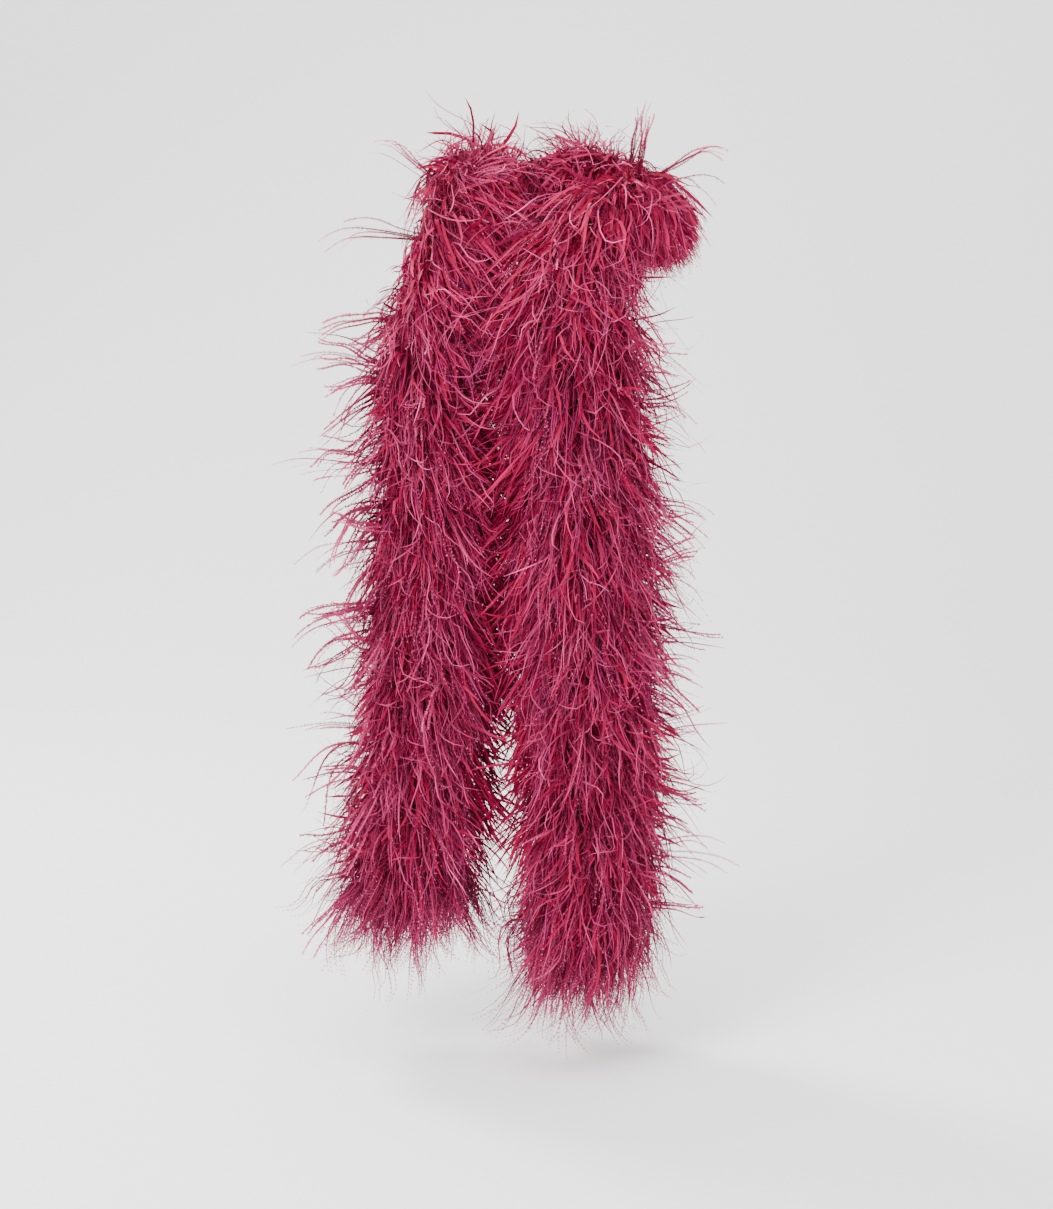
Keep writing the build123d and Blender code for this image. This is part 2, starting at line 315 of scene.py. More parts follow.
def string_material(name, dark, light, turns):
    """Twisted thread: fine slanting bands of its fibres."""
    material, nodes, links, shader = new_material(name, 0.75, 0.3)
    place = nodes.new("ShaderNodeTexCoord")
    wave = nodes.new("ShaderNodeTexWave")
    wave.bands_direction = "DIAGONAL"
    wave.inputs["Scale"].default_value = turns
    wave.inputs["Distortion"].default_value = 1.5
    wave.inputs["Detail"].default_value = 2.0
    links.new(place.outputs["Object"], wave.inputs["Vector"])
    colours = ramp(nodes, [(0.1, dark), (0.9, light)])
    links.new(wave.outputs["Fac"], colours.inputs["Fac"])
    links.new(colours.outputs["Color"], shader.inputs["Base Color"])
    bump = nodes.new("ShaderNodeBump")
    bump.inputs["Strength"].default_value = 0.5
    bump.inputs["Distance"].default_value = 0.0004
    links.new(wave.outputs["Fac"], bump.inputs["Height"])
    links.new(bump.outputs["Normal"], shader.inputs["Normal"])
    return material


# ---------------------------------------------------------------- meshes
def mesh_piece(name, verts, faces, material, slot, uvs=None):
    """A mesh object from arrays: faces are triangles or quads, uvs one pair per vertex."""
    verts = np.asarray(verts, np.float32)
    faces = np.asarray(faces, np.int32)
    sides = faces.shape[1]
    mesh = bpy.data.meshes.new(name)
    mesh.vertices.add(len(verts))
    mesh.vertices.foreach_set("co", verts.ravel())
    mesh.loops.add(faces.size)
    mesh.loops.foreach_set("vertex_index", faces.ravel())
    mesh.polygons.add(len(faces))
    mesh.polygons.foreach_set("loop_start", np.arange(0, faces.size, sides, dtype=np.int32))
    mesh.polygons.foreach_set("use_smooth", np.ones(len(faces), bool))
    if uvs is not None:
        layer = mesh.uv_layers.new(name="OFBake")
        layer.data.foreach_set("uv", np.asarray(uvs, np.float32)[faces.ravel()].ravel())
    mesh.update()
    mesh.validate()
    mesh.materials.append(material)
    piece = bpy.data.objects.new(name, mesh)
    bpy.context.scene.collection.objects.link(piece)
    return piece


def smooth_line(points):
    """The points of the smooth line that a route's cord follows."""
    curve = bpy.data.curves.new("route", "CURVE")
    curve.dimensions = "3D"
    spline = curve.splines.new("NURBS")
    spline.points.add(len(points) - 1)
    for target, point in zip(spline.points, points):
        target.co = (*point, 1)
    spline.order_u = 3
    spline.use_endpoint_u = True
    spline.resolution_u = 24
    holder = bpy.data.objects.new("route", curve)
    bpy.context.scene.collection.objects.link(holder)
    mesh = bpy.data.meshes.new_from_object(holder)
    line = np.array([v.co[:] for v in mesh.vertices])
    bpy.data.objects.remove(holder)
    bpy.data.meshes.remove(mesh)
    return line


def resample(line, count):
    """The same line with evenly spaced points, and its length."""
    steps = np.linalg.norm(np.diff(line, axis=0), axis=1)
    along = np.concatenate([[0], np.cumsum(steps)])
    at = np.linspace(0, along[-1], count)
    return np.stack([np.interp(at, along, line[:, k]) for k in range(3)], axis=1), along[-1]


def unit(vectors):
    """The same vectors made one long."""
    return vectors / np.maximum(np.linalg.norm(vectors, axis=-1, keepdims=True), 1e-9)


def line_frames(line):
    """Directions along a line and two directions across it, without twist."""
    tangents = unit(np.gradient(line, axis=0))
    normals = np.empty_like(tangents)
    normals[0] = unit(np.cross(tangents[0], (0.0, 1.0, 0.0)))
    for i in range(1, len(line)):
        kept = normals[i - 1] - tangents[i] * np.dot(normals[i - 1], tangents[i])
        normals[i] = unit(kept)
    return tangents, normals, np.cross(tangents, normals)


def tube_mesh(line, radius, sides):
    """Vertices and triangles of a round tube along a line, closed by a fan at both ends."""
    _, normals, binormals = line_frames(line)
    angles = np.linspace(0, 2 * math.pi, sides, endpoint=False)
    rings = (
        line[:, None]
        + radius * np.cos(angles)[None, :, None] * normals[:, None]
        + radius * np.sin(angles)[None, :, None] * binormals[:, None]
    )
    verts = np.concatenate([rings.reshape(-1, 3), line[:1], line[-1:]])
    count = len(line)
    first = np.arange(sides)
    after = (first + 1) % sides
    faces = []
    for i in range(count - 1):
        a = i * sides + first
        b = i * sides + after
        faces.append(np.stack([a, b, b + sides], axis=1))
        faces.append(np.stack([a, b + sides, a + sides], axis=1))
    start_middle = np.full(sides, count * sides)
    last_ring = (count - 1) * sides
    faces.append(np.stack([start_middle, after, first], axis=1))
    faces.append(np.stack([start_middle + 1, last_ring + first, last_ring + after], axis=1))
    return verts, np.concatenate(faces)


def merge(parts):
    """One mesh's vertices and faces from several."""
    verts = []
    faces = []
    offset = 0
    for part_verts, part_faces in parts:
        verts.append(part_verts)
        faces.append(part_faces + offset)
        offset += len(part_verts)
    return np.concatenate(verts), np.concatenate(faces)


# ---------------------------------------------------------------- core cord and ply strings
CORE_MATERIAL = string_material("core_cotton", (0.10, 0.005, 0.03), (0.25, 0.02, 0.08), 900)
PLY_MATERIAL = string_material("ply_thread", (0.16, 0.01, 0.05), (0.40, 0.05, 0.15), 1200)
WHIP_MATERIAL = string_material("whipping_thread", (0.30, 0.02, 0.08), (0.55, 0.09, 0.20), 1800)

# the flue material painted darker, as painted shade, for the inner down and the flues between the
# tails
PAINTED_SHADE_FLUE = flue_material(
    "painted_shade_flue", (0.12, 0.0003, 0.010), (0.25, 0.002, 0.034), (0.31, 0.004, 0.048), 0.02
)
# root to tip: painted shade at the root, painted highlight at the tip
OUTER_FLUE = flue_material(
    "outer_flue", (0.09, 0.0005, 0.009), (0.205, 0.003, 0.037), (0.50, 0.046, 0.155), 0.05
)


def make_end(body, side, line):
    """The thread whipping and the knot at the free end of a tail."""
    tangents, normals, binormals = line_frames(line)
    foot = line[-1]
    down = tangents[-1]
    across = normals[-1]
    beside = binormals[-1]

    def placed(x, y, z):
        return foot + x[:, None] * across + y[:, None] * beside + z[:, None] * down

    turns = np.linspace(0, 2 * math.pi * WHIP_L / (2 * WHIP_THREAD_R), WHIP_POINTS)
    coil_r = WHIP_R - WHIP_THREAD_R
    rise = np.linspace(-WHIP_L, -WHIP_THREAD_R, len(turns))
    coil = placed(coil_r * np.cos(turns), coil_r * np.sin(turns), rise)
    whipping = mesh_piece(
        f"whipping_{side}", *tube_mesh(coil, WHIP_THREAD_R, sides=8), WHIP_MATERIAL, "thread"
    )
    # the knot's ply follows a trefoil
    t = np.linspace(0, 2 * math.pi, KNOT_POINTS)
    wide = (KNOT_R - KNOT_PLY_R) / 3
    tall = KNOT_L / 2 - KNOT_PLY_R
    loop = placed(
        wide * (np.sin(t) + 2 * np.sin(2 * t)),
        wide * (np.cos(t) - 2 * np.cos(2 * t)),
        KNOT_L / 2 - tall * np.sin(3 * t),
    )
    ply = tube_mesh(loop, KNOT_PLY_R, sides=12)
    knot = mesh_piece(f"knot_{side}", *ply, PLY_MATERIAL, "thread")
    for piece, kind in ((whipping, "whipping"), (knot, "knot")):
        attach(piece, body)
        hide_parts(f"end_{kind}_{side}")
    return [whipping, knot]


def make_cords():
    """The core cord and the twisted ply strings of each stretch; returns the lines they follow."""
    lines = {}
    for body, points in STRETCHES.items():
        count = NECK_POINTS if body == "neck" else TAIL_POINTS
        line, length = resample(smooth_line(points), count)
        lines[body] = line
        core = mesh_piece(
            f"core_{body}", *tube_mesh(line, CORE_D / 2, sides=12), CORE_MATERIAL, "core_cord"
        )
        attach(core, body)
        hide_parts(f"core_cord_{body}")
        side = body.split("_")[0]
        is_end = body.endswith("lower")
        make_end(body, side, line) if is_end else []
        fine, length = resample(line, int(length / PLY_STEP))
        _, normals, binormals = line_frames(fine)
        turn = np.linspace(0, length / PLY_LAY * 2 * math.pi, len(fine))
        strings = []
        for k in range(PLY_STRINGS):
            angle = turn + k * 2 * math.pi / PLY_STRINGS
            ring = np.cos(angle)[:, None] * normals + np.sin(angle)[:, None] * binormals
            strings.append(tube_mesh(fine + ring * PLY_RING_R, PLY_STRING_R, sides=6))
        plies = mesh_piece(f"plies_{body}", *merge(strings), PLY_MATERIAL, "ply_string")
        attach(plies, body)
        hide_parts(f"ply_strings_{body}")
    return lines


# ---------------------------------------------------------------- how flues grow
DOWN = np.array([0.0, 0.0, -1.0])
GOLDEN_ANGLE = math.pi * (3 - math.sqrt(5))


def apart(heights):
    """Whether the two tails barely touch at these heights."""
    found = np.zeros(len(heights), bool)
    for low, high in APART_Z:
        found |= (heights > low) & (heights < high)
    return found


class Boa:
    """The whole boa's middle line, from its left end to its right end."""

    def __init__(self, lines):
        parts = []
        for body, line in lines.items():
            parts.append(line[::-1] if body.startswith("left") else line)
        joined = np.concatenate([parts[0]] + [p[1:] for p in parts[1:]])
        self.line, self.length = resample(joined, BOA_POINTS)
        self.tangents, self.normals, self.binormals = line_frames(self.line)
        self.at = np.linspace(0, self.length, len(self.line))
        # how far along the boa each joint is
        self.joints = {}
        for body, place in JOINT_AT.items():
            gap = np.linalg.norm(self.line - np.array(place), axis=1)
            self.joints[body] = self.at[gap.argmin()]
        j = self.joints
        low = j["left_upper"]
        high = j["right_upper"]
        # radius of the dense fringe in millimetres, at distances along the boa
        fringe = [
            (0, 82), (j["left_lower"], 78), (j["left_middle"], 71), (low - 0.04, 66), (low, 56),
            (low + 0.08, 52), (low + 0.14, 56), (low + 0.22, 73), (low + 0.33, 56),
            (high - 0.37, 70), (high - 0.29, 35), (high - 0.22, 40), (high - 0.15, 66),
            (high - 0.08, 84), (high, 90), (j["right_middle"], 88), (j["right_lower"], 86),
            (self.length, 84),
        ]
        self.fringe_at = [at for at, _ in fringe]
        self.fringe_r = [r * MM for _, r in fringe]
        # how far the tips of the flues lie to one side in millimetres, at such distances
        swept = [
            (0, (-2, 0, 0)), (0.08, (16, 0, 0)), (0.15, (2, 0, 0)), (j["left_lower"], (24, 0, 0)),
            (j["left_lower"] + 0.06, (8, 0, 0)), (j["left_middle"] + 0.03, (26, 0, 0)),
            (low - 0.06, (12, 0, 0)), (low, (25, -8, -8)), (low + 0.07, (22, -14, -12)),
            (low + 0.14, (32, -4, 10)), (low + 0.19, (14, 0, 18)), (low + 0.25, (-20, 0, 20)),
            (low + 0.33, (6, 0, 4)), (high - 0.38, (-12, 0, 24)), (high - 0.33, (-14, 0, -18)),
            (high - 0.28, (35, 0, -48)), (high - 0.22, (28, -8, -32)),
            (high - 0.16, (-32, -14, -4)), (high - 0.1, (-16, -10, -8)), (high, (-4, 4, 0)),
            (self.length - 0.15, (0, 4, 0)), (self.length, (-28, 4, 0)),
        ]
        self.sweep_at = [at for at, _ in swept]
        self.sweep_by = np.array([by for _, by in swept]) * MM

    def frames(self, s):
        """Point, direction and two cross directions at distances s along the boa."""
        index = np.clip(np.searchsorted(self.at, s), 0, len(self.at) - 1)
        return self.line[index], self.tangents[index], self.normals[index], self.binormals[index]

    def reach(self, s):
        """Radius of the dense fringe at distances s along the boa."""
        return np.interp(s, self.fringe_at, self.fringe_r)

    def sweep(self, s):
        """How far the tips of flues rooted at distances s along the boa lie to one side."""
        by = [np.interp(s, self.sweep_at, self.sweep_by[:, k]) for k in range(3)]
        return np.stack(by, axis=1)

    def collar(self, s):
        """From 0 on the tails, which hang, to 1 on the collar, which lies level."""
        low = self.joints["left_upper"]
        high = self.joints["right_upper"]
        return np.clip(np.minimum(s - low, high - s) / COLLAR_REACH, 0, 1)

    def crowd(self, s, azimuth):
        """How squarely each flue faces the other tail, 0 to 1, and the share of it that is lost."""
        place, _, normal, binormal = self.frames(s)
        sideways = np.cos(azimuth) * normal[:, 0] + np.sin(azimuth) * binormal[:, 0]
        on_left = s < self.joints["left_upper"]
        on_right = s > self.joints["right_upper"]
        facing = np.clip(sideways * (on_left * 1.0 - on_right * 1.0), 0, 1) ** 2
        lost = np.where(on_left, CROWDED_LEFT, CROWDED_RIGHT) + APART_LOSS * apart(place[:, 2])
        return facing, facing * lost

    def nearest(self, points, roots):
        """How far along the boa the nearest point of its middle line is, not far from the root."""
        coarse = self.line[::COARSE_STEP]
        gaps = np.linalg.norm(points[:, None] - coarse[None], axis=2)
        found = self.at[::COARSE_STEP][gaps.argmin(axis=1)]
        return np.clip(found, roots - NEAR_ROOT, roots + NEAR_ROOT)


def hold_back(points):
    """Keeps flues out of the space that the neck fills."""
    moved = points.copy()
    out = points[:, :2] - np.array(NECK_CENTRE)[:2]
    radius = np.hypot(out[:, 0], out[:, 1])
    inside = (radius < NECK_CLEAR_R) & (points[:, 2] > NECK_FOOT_Z)
    push = np.where(inside, NECK_CLEAR_R / np.maximum(radius, 1e-6), 1.0)
    moved[:, :2] = np.array(NECK_CENTRE)[:2] + out * push[:, None]
    return moved


def bend(point, heading, shape, steps):
    """Middle lines of flues, (flues, steps + 1, 3), from their roots and first headings.

    Each flue runs straight at first, sags over halfway along and hangs from there,
    waves from side to side and hooks over at its tip.
    """
    side = unit(np.cross(heading, shape["twist"]))
    turn = shape["hook_angle"][:, None]
    hook = unit(np.cross(heading, side) * np.cos(turn) + side * np.sin(turn))
    points = [point]
    step = (shape["length"] / steps)[:, None]
    for k in range(steps):
        t = (k + 0.5) / steps
        profile = SAG_EVEN + SAG_PEAK * math.exp(-(((t - SAG_AT) / SAG_SPAN) ** 2))
        sag = shape["sag"] * profile / steps
        wave = shape["wave"] * np.sin(shape["phase"] + t * shape["waves"] * 2 * math.pi) / steps
        curl = shape["hook"] * max(0.0, t - HOOK_FROM) / 0.5 / steps
        heading = unit(heading + DOWN * sag[:, None] + side * wave[:, None] + hook * curl[:, None])
        point = point + heading * step
        points.append(point)
    return np.stack(points, axis=1)


def grow(boa, shape, steps, crowding=1.0):
    """Middle lines of flues that grow from the boa's cord and leave it across it."""
    place, tangent, normal, binormal = boa.frames(shape["s"])
    azimuth = shape["azimuth"]
    across = np.cos(azimuth)[:, None] * normal + np.sin(azimuth)[:, None] * binormal
    lean = shape["lean"][:, None]
    heading = unit(across * np.cos(lean) + tangent * np.sin(lean))
    facing, lost = boa.crowd(shape["s"], azimuth)
    crowded = {
        **shape,
        "length": shape["length"] * (1 - lost * crowding),
        "sag": shape["sag"] + CROWDED_SAG * facing * crowding,
    }
    lines = bend(place + across * FLUE_ROOT_R, heading, crowded, steps)
    share = np.linspace(0, 1, steps + 1)[None, :, None] ** SWEEP_POWER
    lines = lines + boa.sweep(shape["s"])[:, None] * share
    return hold_back(lines.reshape(-1, 3)).reshape(lines.shape)


def flow(s, azimuth):
    """A slow change of lean along and round the boa, so that neighbouring tufts lie alike."""
    first = np.sin(2 * math.pi * s / FLOW_LENGTH + azimuth)
    second = np.sin(2 * math.pi * s / (0.58 * FLOW_LENGTH) - 2 * azimuth + 1.3)
    return FLOW_LEAN * (first + second) / 2


def tufted(rng, boa, tufts, per_tuft, spread, ranges, between=(0.0, 1.0)):
    """Shape values of flues that grow in tufts spaced evenly round the cord.

    Each tuft draws its values from the ranges, and its flues differ from it by the spread.
    Length is a multiple of the fringe's radius; sag, wave and hook are whole bends in radians.
    """
    count = tufts * per_tuft
    tuft = np.repeat(np.arange(tufts), per_tuft)

    def near(values, name):
        return values[tuft] + rng.normal(0, spread[name], count)

    def drawn(name):
        return near(rng.uniform(*ranges[name], tufts), name)

    first, last = (share * boa.length for share in between)
    s = first + (np.arange(tufts) + rng.uniform(0, 1, tufts)) / tufts * (last - first)
    s = np.clip(near(s, "s"), 0.0, boa.length)
    azimuth = np.arange(tufts) * GOLDEN_ANGLE + rng.normal(0, 0.25, tufts)
    curly = 1 + COLLAR_CURL * boa.collar(s)
    return {
        "s": s,
        "azimuth": near(azimuth, "azimuth"),
        "lean": drawn("lean") + flow(s, azimuth[tuft]),
        "length": np.clip(drawn("length"), 0.2, ranges["length"][1]) * boa.reach(s),
        "sag": np.maximum(drawn("sag") + COLLAR_SAG * boa.collar(s), 0.1),
        "wave": drawn("wave") * curly,
        "waves": drawn("waves"),
        "phase": near(rng.uniform(0, 2 * math.pi, tufts), "phase"),
        "hook": drawn("hook") * curly,
        "hook_angle": near(rng.uniform(0, 2 * math.pi, tufts), "hook_angle"),
        "twist": unit(rng.normal(0, 1, (tufts, 3)))[tuft]
        + rng.normal(0, spread["twist"], (count, 3)),
    }


def gather(rng, lines, group, pull_range):
    """Draws the flues of each group together towards their tips, some groups more than others."""
    groups = group.max() + 1
    middle = np.zeros((groups, *lines.shape[1:]))
    np.add.at(middle, group, lines)
    middle /= np.maximum(np.bincount(group, minlength=groups), 1)[:, None, None]
    pull = rng.uniform(*pull_range, groups)[group][:, None, None]
    # the pull grows from the root to just short of the tip
    t = np.linspace(0, 1, lines.shape[1])[None, :, None]
    return lines + (middle[group] - lines) * pull * t * (1.7 - t)


def locks(rng, shape, count, length):
    """The lock that each flue falls into: the nearest of so many places on the fringe."""
    around = shape["azimuth"] * LOCK_R
    turn = 2 * math.pi * LOCK_R
    centre_s = rng.uniform(0, length, count)
    centre_around = rng.uniform(0, turn, count)
    gap_s = (shape["s"][:, None] - centre_s) * LOCK_STRETCH
    gap_around = (around[:, None] - centre_around + turn / 2) % turn - turn / 2
    return np.hypot(gap_s, gap_around).argmin(axis=1)


# ---------------------------------------------------------------- flues as meshes
def dye_lots_and_painted_light(rng, lines):
    """Each flue's dye lot, mostly its own, with painted light and shade.

    A part of it, shared with the flues around it, is slow lighter and darker patches of painted
    light and shade; the flues high up, on the collar, are painted paler as painted light from
    above.
    """
    middle = lines[:, lines.shape[1] // 2]
    place = middle / LUMP_SHADE_PATCH
    own = rng.uniform(*OWN_DYE, len(lines))
    # painted light from above: flues higher up are painted paler
    high = np.clip((middle[:, 2] - PAINTED_LIGHT_FROM_Z) / PAINTED_LIGHT_OVER, 0, 1)
    # slow patches of painted light and shade, standing in for the shading of lumps
    across = np.sin(place[:, 0] + 2 * np.sin(place[:, 2]))
    down = np.sin(1.3 * place[:, 2] + 2 * np.sin(place[:, 0] + place[:, 1]))
    return np.clip(own + PAINTED_LIGHT_BY * high + LUMP_SHADE_PATCHINESS * (across + down), 0, 1)


def flue_uvs(lots, along, corners):
    """UVs of flues with so many corners at each point, clear of the UV square's edges."""
    count = len(lots)
    points = along.size
    lot = np.repeat(lots, points * corners)
    down = np.broadcast_to(along.reshape(1, -1, 1), (count, points, corners)).reshape(-1)
    return np.stack([lot, down], axis=1) * 0.98 + 0.01


def down_ribbons(rng, lines, width):
    """Flat soft ribbons along these lines, widest past the middle: vertices, quads and UVs."""
    count, points, _ = lines.shape
    heading = unit(np.gradient(lines, axis=1))
    side = unit(np.cross(heading, unit(rng.normal(0, 1, (count, 1, 3)))))
    t = np.linspace(0, 1, points)[None, :, None]
    half = width[:, None, None] / 2 * (0.5 + t) * (1 - 0.9 * t**5)
    edges = np.stack([lines + side * half, lines - side * half], axis=2)
    index = np.arange(count * points * 2).reshape(count, points, 2)
    here = index[:, :-1]
    there = index[:, 1:]
    quads = np.stack([here[..., 0], here[..., 1], there[..., 1], there[..., 0]], axis=-1)
    return edges.reshape(-1, 3), quads.reshape(-1, 4), flue_uvs(dye_lots_and_painted_light(rng, lines), t, 2)


def flue_ribbons(rng, lines, width):
    """Tapering three-sided flues along these lines: vertices, quads and UVs."""
    count, points, _ = lines.shape
    heading = unit(np.gradient(lines, axis=1))
    seed = unit(rng.normal(0, 1, (count, 1, 3)))
    side = unit(np.cross(heading, seed))
    rise = np.cross(heading, side)
    t = np.linspace(0, 1, points)[None, :, None]
    # narrower at the root, full from a quarter of the way, then thinning to the tip
    full = 0.5 + 0.5 * np.clip(t / 0.25, 0, 1)
    half = width[:, None, None] / 2 * full * (1 - 0.96 * t**2.6)
    corners = np.stack(
        [lines + side * half, lines - side * half, lines + rise * half * FLUE_RIDGE], axis=2
    )
    index = np.arange(count * points * 3).reshape(count, points, 3)
    here = index[:, :-1]
    there = index[:, 1:]
    quads = []
    for a, b in ((0, 1), (1, 2), (2, 0)):
        quads.append(np.stack([here[..., a], here[..., b], there[..., b], there[..., a]], axis=-1))
    quads = np.stack(quads, axis=2).reshape(-1, 4)
    return corners.reshape(-1, 3), quads, flue_uvs(dye_lots_and_painted_light(rng, lines), t, 3)


def flue_barbs(rng, lines, reach, teeth, base):
    """The fine barbules on both sides of each flue, slanting towards its tip."""
    count, points, _ = lines.shape
    at = np.linspace(0.12, 0.99, teeth)
    low = np.clip((at * (points - 1)).astype(int), 0, points - 2)
    share = (at * (points - 1) - low)[None, :, None]
    spine = lines[:, low] * (1 - share) + lines[:, low + 1] * share
    heading = unit(lines[:, low + 1] - lines[:, low])
    side = unit(np.cross(heading, unit(rng.normal(0, 1, (count, 1, 3)))))
    # they are shorter towards the tip, and each pair differs
    length = reach[:, None, None] * (1 - 0.5 * at[None, :, None] ** 2)
    length = length * rng.uniform(0.6, 1.15, (count, teeth, 1))
    verts = [spine - heading * base / 2, spine + heading * base / 2]
    for way in (1, -1):
        swing = rng.normal(0, 0.3, (count, teeth, 3))
        verts.append(spine + unit(heading * 0.9 + side * way + swing) * length)
    verts = np.stack(verts, axis=2)
    index = np.arange(count * teeth * 4).reshape(count, teeth, 4)
    faces = np.stack([index[..., [0, 1, 2]], index[..., [1, 0, 3]]], axis=2).reshape(-1, 3)
    return verts.reshape(-1, 3), faces, flue_uvs(rng.uniform(0.3, 1.0, count), at, 4)


def flue_piece(name, built, material):
    """A piece of these flues: vertices, faces and UVs."""
    verts, faces, uvs = built
    return mesh_piece(name, verts, faces, material, "dyed_flue", uvs)


# every zone is the flues round one joint, or those of the neck that no joint moves
ZONES = [
    ("left_end", "left_middle", "left_lower"),
    ("left_tail", "left_upper", "left_middle"),
    ("left_collar", "neck", "left_upper"),
    ("neck", None, None),
    ("right_collar", "neck", "right_upper"),
    ("right_tail", "right_upper", "right_middle"),
    ("right_end", "right_middle", "right_lower"),
]


def zone_edges(boa):
    """Where along the boa each zone ends and the next begins."""
    j = boa.joints
    return [
        (j["left_lower"] + j["left_middle"]) / 2,
        (j["left_middle"] + j["left_upper"]) / 2,
        j["left_upper"] + COLLAR_REACH,
        j["right_upper"] - COLLAR_REACH,
        (j["right_upper"] + j["right_middle"]) / 2,
        (j["right_middle"] + j["right_lower"]) / 2,
    ]


REPLACED = {
    "left_end": ["flue_ruffs_left_lower", "end_tuft_left"],
    "left_tail": ["flue_ruffs_left_middle"],
    "left_collar": ["flue_ruffs_left_upper"],
    "neck": [
        "collar_flues_left", "shoulder_flues_left", "nape_flues", "shoulder_flues_right",
        "collar_flues_right", "crossover_flues",
    ],
    "right_collar": ["flue_ruffs_right_upper"],
    "right_tail": ["flue_ruffs_right_middle"],
    "right_end": ["flue_ruffs_right_lower", "end_tuft_right"],
}


def fasten(piece, zone, boa):
    """Makes a piece of flues in the neck's zone move with the neck; a piece of any other zone only
    has its placement baked into its mesh.
    """
    _, upper, lower = zone
    if upper is None:
        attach(piece, "neck")
        return
    _, tangent, _, _ = boa.frames(np.array([boa.joints[lower]]))
    along = Vector(tangent[0])
    if along.z > 0:
        along = -along
    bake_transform(piece)


def make_layer(boa, name, lines, roots, build, material, tris_each):
    """One layer of flues: in each zone as many pieces as keep every piece's mesh light."""
    near = boa.nearest(lines[:, lines.shape[1] // 2], roots)
    zone_of = np.searchsorted(zone_edges(boa), near)
    first = {}
    for k, zone in enumerate(ZONES):
        mine = np.flatnonzero(zone_of == k)
        if not len(mine):
            continue
        mine = mine[np.argsort(near[mine])]
        pieces = math.ceil(len(mine) * tris_each / PIECE_TRIS)
        for n, part in enumerate(np.array_split(mine, pieces)):
            piece = flue_piece(f"{name}_{zone[0]}_{n + 1}", build(lines[part]), material)
            fasten(piece, zone, boa)
            first.setdefault(zone[0], piece)
    return first


def flat_layer(rng, boa, name, lines, roots, widths, material):
    """A layer of flat soft flues, of widths in this range of millimetres."""
    return make_layer(
        boa, name, lines, roots,
        lambda part: down_ribbons(rng, part, rng.uniform(*widths, len(part)) * MM),
        material, 2 * (lines.shape[1] - 1),
    )


def flue_layer(rng, boa, name, lines, roots, widths):
    """A layer of ridged tapering flues, of widths in this range of millimetres."""
    make_layer(
        boa, name, lines, roots,
        lambda part: flue_ribbons(rng, part, rng.uniform(*widths, len(part)) * MM),
        OUTER_FLUE, 6 * (lines.shape[1] - 1),
    )


def barb_layer(rng, boa, name, lines, roots, reaches, teeth, base):
    """The pairs of barbules along flues, their lengths and width in millimetres."""
    def build(part):
        return flue_barbs(rng, part, rng.uniform(*reaches, len(part)) * MM, teeth, base * MM)

    make_layer(boa, name, lines, roots, build, OUTER_FLUE, 2 * teeth)


# ---------------------------------------------------------------- the fringe of flues
def make_fringe(boa):
    """The dense fringe: short down inside, then tufts of long flues with their barbules."""
    rng = np.random.default_rng(RANDOM_SEED)
    spread = {
        "s": 0.005, "azimuth": 0.24, "lean": 0.22, "length": 0.12, "sag": 0.3,
        "wave": 0.7, "waves": 0.25, "hook": 0.8, "phase": 0.6, "hook_angle": 0.8, "twist": 0.32,
    }
    down = tufted(rng, boa, DOWN_FLUES, 1, spread, {
        "lean": (-0.7, 0.7), "length": (0.75, 1.45), "sag": (0.7, 2.6),
        "wave": (0, 3.0), "waves": (0.5, 1.5), "hook": (0, 3.0),
    })
    # the inner down takes the darker flue material, as painted shade inside the fringe
    inner = flat_layer(
        rng, boa, "down", grow(boa, down, steps=6), down["s"], (2.4, 4.2), PAINTED_SHADE_FLUE
    )
    for zone, nodes in REPLACED.items():
        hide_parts(*nodes)

    outer = tufted(rng, boa, OUTER_TUFTS, OUTER_TUFT, spread, {
        "lean": (-0.8, 0.8), "length": (1.15, 2.15), "sag": (1.0, 3.4),
        "wave": (1.5, 8.5), "waves": (0.8, 2.5), "hook": (0, 6.5),
    })
    lines = grow(boa, outer, steps=12)
    lines = gather(rng, lines, np.arange(len(lines)) // OUTER_TUFT, (0.0, 0.45))
    lines = gather(rng, lines, locks(rng, outer, OUTER_LOCKS, boa.length), (0.1, 0.42))
    flue_layer(rng, boa, "flues", lines, outer["s"], (1.1, 2.3))
    some = lines[::2]
    barb_layer(rng, boa, "flue_barbs", some, outer["s"][::2], (2.0, 3.4), teeth=20, base=1.6)
    fine = tufted(rng, boa, FINE_TUFTS, FINE_TUFT, spread, {
        "lean": (-1.0, 1.0), "length": (1.15, 2.05), "sag": (0.6, 2.9),
        "wave": (1.5, 10.0), "waves": (0.9, 2.8), "hook": (0, 8.0),
    })
    flat_layer(
        rng, boa, "fine_flues", grow(boa, fine, steps=12), fine["s"], (1.0, 1.8), OUTER_FLUE
    )


